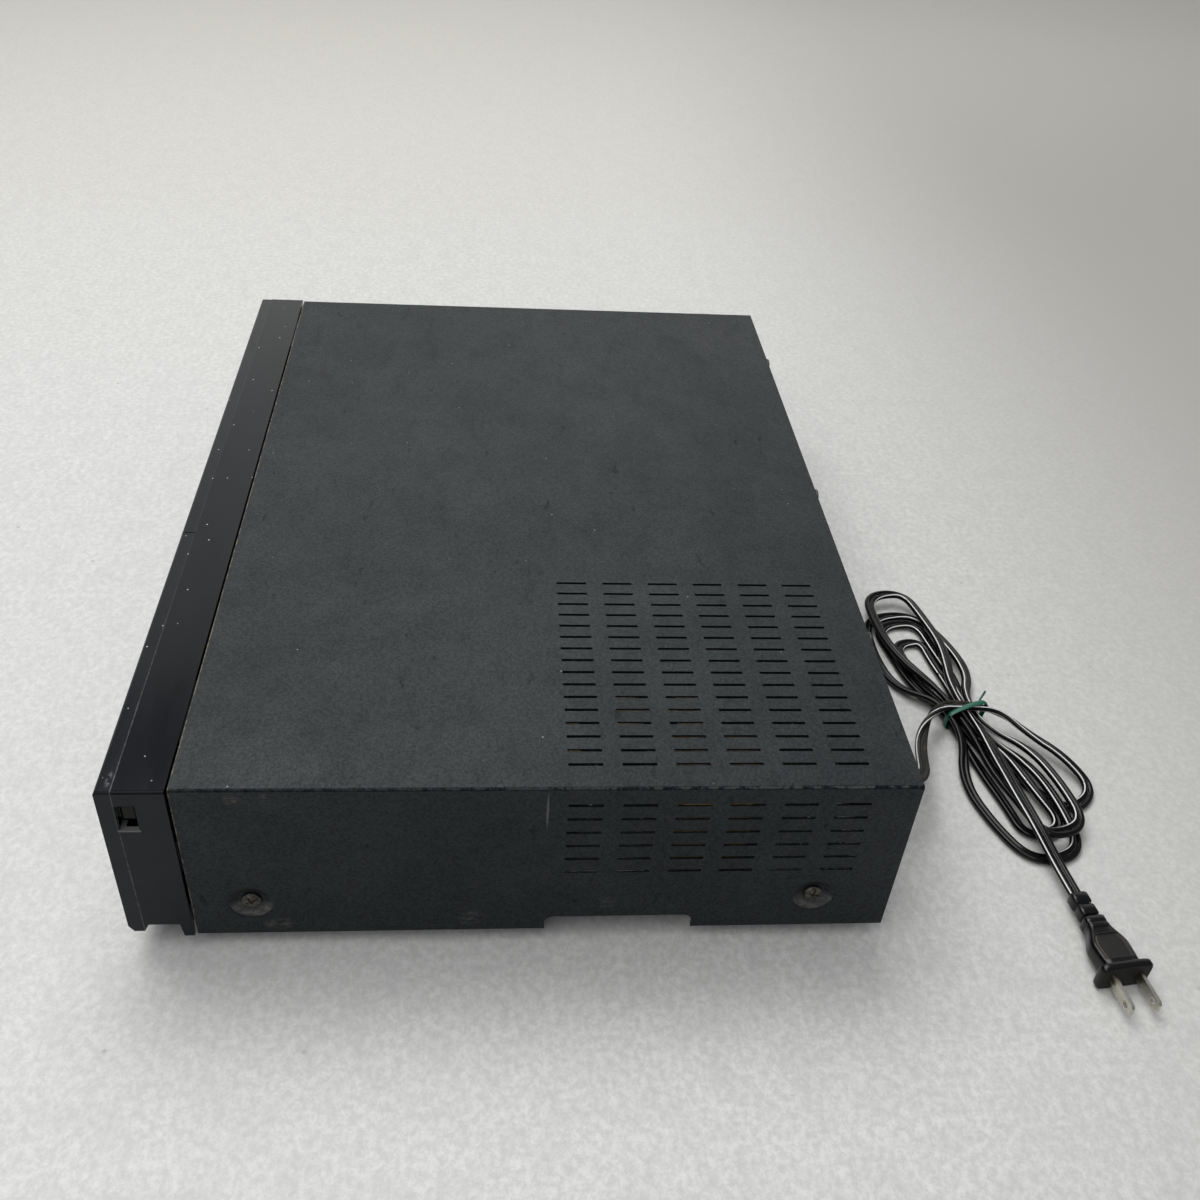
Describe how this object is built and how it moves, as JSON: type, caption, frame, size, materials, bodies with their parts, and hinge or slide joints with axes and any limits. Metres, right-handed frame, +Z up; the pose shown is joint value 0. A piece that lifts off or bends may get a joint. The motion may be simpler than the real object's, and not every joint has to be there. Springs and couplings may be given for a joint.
{
  "type": "video cassette recorder",
  "caption": "Front-loading video cassette recorder with a slotted wrap-around steel cover, plastic front, cassette flap, tape mechanism and a tied mains cord.",
  "frame": {"origin": "on the surface under the feet, below the middle of the case, front to rear and side to side, without the cord", "axes": "+X to the right seen from the front, +Y to the rear, +Z up"},
  "size_m": [0.4774, 0.4556, 0.0962],
  "materials": {
    "head_metal": "lapped",
    "jack_block": "black moulding with plated sockets",
    "component": "black encapsulation",
    "gear_plastic": "natural acetal",
    "shaft_steel": "ground",
    "carriage_steel": "plated",
    "front_plastic": "satin black moulding",
    "button_plastic": "satin",
    "pan_steel": "plain plated sheet steel",
    "gland_rubber": "black",
    "cord_vinyl": "glossy black vinyl with a white stripe",
    "screw_steel": "blackened steel",
    "deck_steel": "zinc plated",
    "display_glass": "clear glass tube",
    "window_plastic": "smoked and polished",
    "drum_metal": "turned",
    "foot_plastic": "matt",
    "board": "brown phenolic board",
    "sink_metal": "plain",
    "arm_steel": "plated",
    "roller_rubber": "black",
    "motor_steel": "plated",
    "blade_metal": "nickel plated",
    "rear_paint": "satin black paint",
    "belt_rubber": "black",
    "socket_metal": "nickel plated",
    "post_steel": "polished",
    "reel_plastic": "white moulding",
    "cover_paint": "fine-grained satin black enamel",
    "coil_tape": "amber winding tape",
    "core_steel": "varnished laminations",
    "can_steel": "tinned steel",
    "tie_plastic": "green"
  },
  "bodies": {
    "recorder": {"audio_control_head": "head_metal", "av_jacks": "jack_block", "board_parts": "component", "carriage_frame": "carriage_steel", "chassis_pan": "pan_steel", "cord_gland": "gland_rubber", "cord_hank": "cord_vinyl", "cord_lead": "cord_vinyl", "cord_tail": "cord_vinyl", "cover_screws": "screw_steel", "deck_plate": "deck_steel", "display_tube": "display_glass", "display_window": "window_plastic", "drum_base": "drum_metal", "fascia_frame": "front_plastic", "feet": "foot_plastic", "front_board": "board", "heat_sink": "sink_metal", "left_front_panel": "front_plastic", "loading_motor": "motor_steel", "main_board": "board", "plug_blades": "blade_metal", "plug_body": "cord_vinyl", "power_board": "board", "rear_panel": "rear_paint", "reel_drive_belt": "belt_rubber", "rf_connectors": "socket_metal", "right_front_panel": "front_plastic", "top_cover": "cover_paint", "transformer_coil": "coil_tape", "transformer_core": "core_steel", "tuner_can": "can_steel", "twist_tie": "tie_plastic"},
    "flap": {"cassette_flap": "front_plastic"},
    "channel_switch": {"channel_switch": "button_plastic"},
    "head_drum": {"head_drum": "drum_metal"},
    "capstan": {"capstan": "shaft_steel"},
    "clutch_pulley": {"clutch_pulley": "gear_plastic"},
    "idler_arm": {"idler_arm": "arm_steel"},
    "idler_wheel": {"idler_wheel": "roller_rubber"},
    "supply_reel_table": {"supply_reel_table": "reel_plastic"},
    "take_up_reel_table": {"take_up_reel_table": "reel_plastic"},
    "pinch_arm": {"pinch_arm": "arm_steel"},
    "pinch_roller": {"pinch_roller": "roller_rubber"},
    "supply_guide_post": {"supply_guide_post": "post_steel"},
    "take_up_guide_post": {"take_up_guide_post": "post_steel"},
    "cam_gear": {"cam_gear": "gear_plastic"},
    "loading_pinion": {"loading_pinion": "gear_plastic"},
    "carriage_slider": {"carriage_slider": "carriage_steel"},
    "cassette_holder": {"cassette_holder": "carriage_steel"},
    "power_button": {"power_button": "button_plastic"},
    "rewind_button": {"rewind_button": "button_plastic"},
    "play_button": {"play_button": "button_plastic"},
    "fast_forward_button": {"fast_forward_button": "button_plastic"},
    "stop_button": {"stop_button": "button_plastic"},
    "pause_button": {"pause_button": "button_plastic"},
    "record_button": {"record_button": "button_plastic"},
    "eject_button": {"eject_button": "button_plastic"},
    "channel_down_button": {"channel_down_button": "button_plastic"},
    "channel_up_button": {"channel_up_button": "button_plastic"}
  },
  "joints": [
    {"name": "flap_hinge", "type": "hinge", "parent": "recorder", "child": "flap", "pos_m": [-0.09, -0.16575, 0.0902], "axis": [1, 0, 0], "range_deg": [0, 88], "stiffness_Nm_per_rad": 0.004, "springref_deg": -28.65},
    {"name": "power_push", "type": "slide", "parent": "recorder", "child": "power_button", "axis": [0, 1, 0], "range_m": [0, 0.0008], "stiffness_N_per_m": 500, "springref_m": -0.001},
    {"name": "rewind_push", "type": "slide", "parent": "recorder", "child": "rewind_button", "axis": [0, 1, 0], "range_m": [0, 0.0008], "stiffness_N_per_m": 500, "springref_m": -0.001},
    {"name": "play_push", "type": "slide", "parent": "recorder", "child": "play_button", "axis": [0, 1, 0], "range_m": [0, 0.0008], "stiffness_N_per_m": 500, "springref_m": -0.001},
    {"name": "fast_forward_push", "type": "slide", "parent": "recorder", "child": "fast_forward_button", "axis": [0, 1, 0], "range_m": [0, 0.0008], "stiffness_N_per_m": 500, "springref_m": -0.001},
    {"name": "stop_push", "type": "slide", "parent": "recorder", "child": "stop_button", "axis": [0, 1, 0], "range_m": [0, 0.0008], "stiffness_N_per_m": 500, "springref_m": -0.001},
    {"name": "pause_push", "type": "slide", "parent": "recorder", "child": "pause_button", "axis": [0, 1, 0], "range_m": [0, 0.0008], "stiffness_N_per_m": 500, "springref_m": -0.001},
    {"name": "record_push", "type": "slide", "parent": "recorder", "child": "record_button", "axis": [0, 1, 0], "range_m": [0, 0.0008], "stiffness_N_per_m": 500, "springref_m": -0.001},
    {"name": "eject_push", "type": "slide", "parent": "recorder", "child": "eject_button", "axis": [0, 1, 0], "range_m": [0, 0.0008], "stiffness_N_per_m": 500, "springref_m": -0.001},
    {"name": "channel_down_push", "type": "slide", "parent": "recorder", "child": "channel_down_button", "axis": [0, 1, 0], "range_m": [0, 0.0008], "stiffness_N_per_m": 500, "springref_m": -0.001},
    {"name": "channel_up_push", "type": "slide", "parent": "recorder", "child": "channel_up_button", "axis": [0, 1, 0], "range_m": [0, 0.0008], "stiffness_N_per_m": 500, "springref_m": -0.001},
    {"name": "channel_switch_slide", "type": "slide", "parent": "recorder", "child": "channel_switch", "axis": [1, 0, 0], "range_m": [-0.0015, 0.0015]},
    {"name": "drum_spin", "type": "hinge", "parent": "recorder", "child": "head_drum", "pos_m": [-0.09, 0.07325, 0.0345], "axis": [0.104, 0, 0.9946], "continuous": true},
    {"name": "capstan_spin", "type": "hinge", "parent": "recorder", "child": "capstan", "pos_m": [-0.018, 0.05425, 0.033], "axis": [0, 0, 1], "continuous": true},
    {"name": "clutch_spin", "type": "hinge", "parent": "recorder", "child": "clutch_pulley", "pos_m": [-0.09, -0.03675, 0.033], "axis": [0, 0, 1], "continuous": true},
    {"name": "idler_swing", "type": "hinge", "parent": "recorder", "child": "idler_arm", "pos_m": [-0.09, -0.03675, 0.0345], "axis": [0, 0, 1], "range_deg": [-14, 14]},
    {"name": "idler_spin", "type": "hinge", "parent": "idler_arm", "child": "idler_wheel", "pos_m": [-0.09, -0.00975, 0.0345], "axis": [0, 0, 1], "continuous": true},
    {"name": "supply_reel_spin", "type": "hinge", "parent": "recorder", "child": "supply_reel_table", "pos_m": [-0.136, -0.01975, 0.0345], "axis": [0, 0, 1], "continuous": true},
    {"name": "take_up_reel_spin", "type": "hinge", "parent": "recorder", "child": "take_up_reel_table", "pos_m": [-0.044, -0.01975, 0.0345], "axis": [0, 0, 1], "continuous": true},
    {"name": "pinch_swing", "type": "hinge", "parent": "recorder", "child": "pinch_arm", "pos_m": [-0.002, 0.07225, 0.0345], "axis": [0, 0, 1], "range_deg": [-20, 0]},
    {"name": "pinch_roller_spin", "type": "hinge", "parent": "pinch_arm", "child": "pinch_roller", "pos_m": [-0.002, 0.05305, 0.0345], "axis": [0, 0, 1], "continuous": true},
    {"name": "supply_guide_slide", "type": "slide", "parent": "recorder", "child": "supply_guide_post", "axis": [0.0665, 0.9978, 0], "range_m": [0, 0.06013]},
    {"name": "take_up_guide_slide", "type": "slide", "parent": "recorder", "child": "take_up_guide_post", "axis": [-0.0665, 0.9978, 0], "range_m": [0, 0.06013]},
    {"name": "cam_spin", "type": "hinge", "parent": "recorder", "child": "cam_gear", "pos_m": [0.034, -0.02975, 0.0345], "axis": [0, 0, 1], "range_deg": [0, 300]},
    {"name": "pinion_spin", "type": "hinge", "parent": "recorder", "child": "loading_pinion", "pos_m": [0.034, -0.00085, 0.0345], "axis": [0, 0, 1], "range_deg": [-1050, 0]},
    {"name": "carriage_slide", "type": "slide", "parent": "recorder", "child": "carriage_slider", "axis": [0, -1, 0], "range_m": [0, 0.066]},
    {"name": "holder_lift", "type": "slide", "parent": "carriage_slider", "child": "cassette_holder", "axis": [0, 0, 1], "range_m": [-0.021, 0]}
  ],
  "couplings": [
    {"joint": "clutch_spin", "follows": "capstan_spin", "ratio": 0.61538},
    {"joint": "idler_spin", "follows": "capstan_spin", "ratio": -0.29402},
    {"joint": "take_up_guide_slide", "follows": "supply_guide_slide", "ratio": 1},
    {"joint": "pinion_spin", "follows": "cam_spin", "ratio": -3.5}
  ]
}
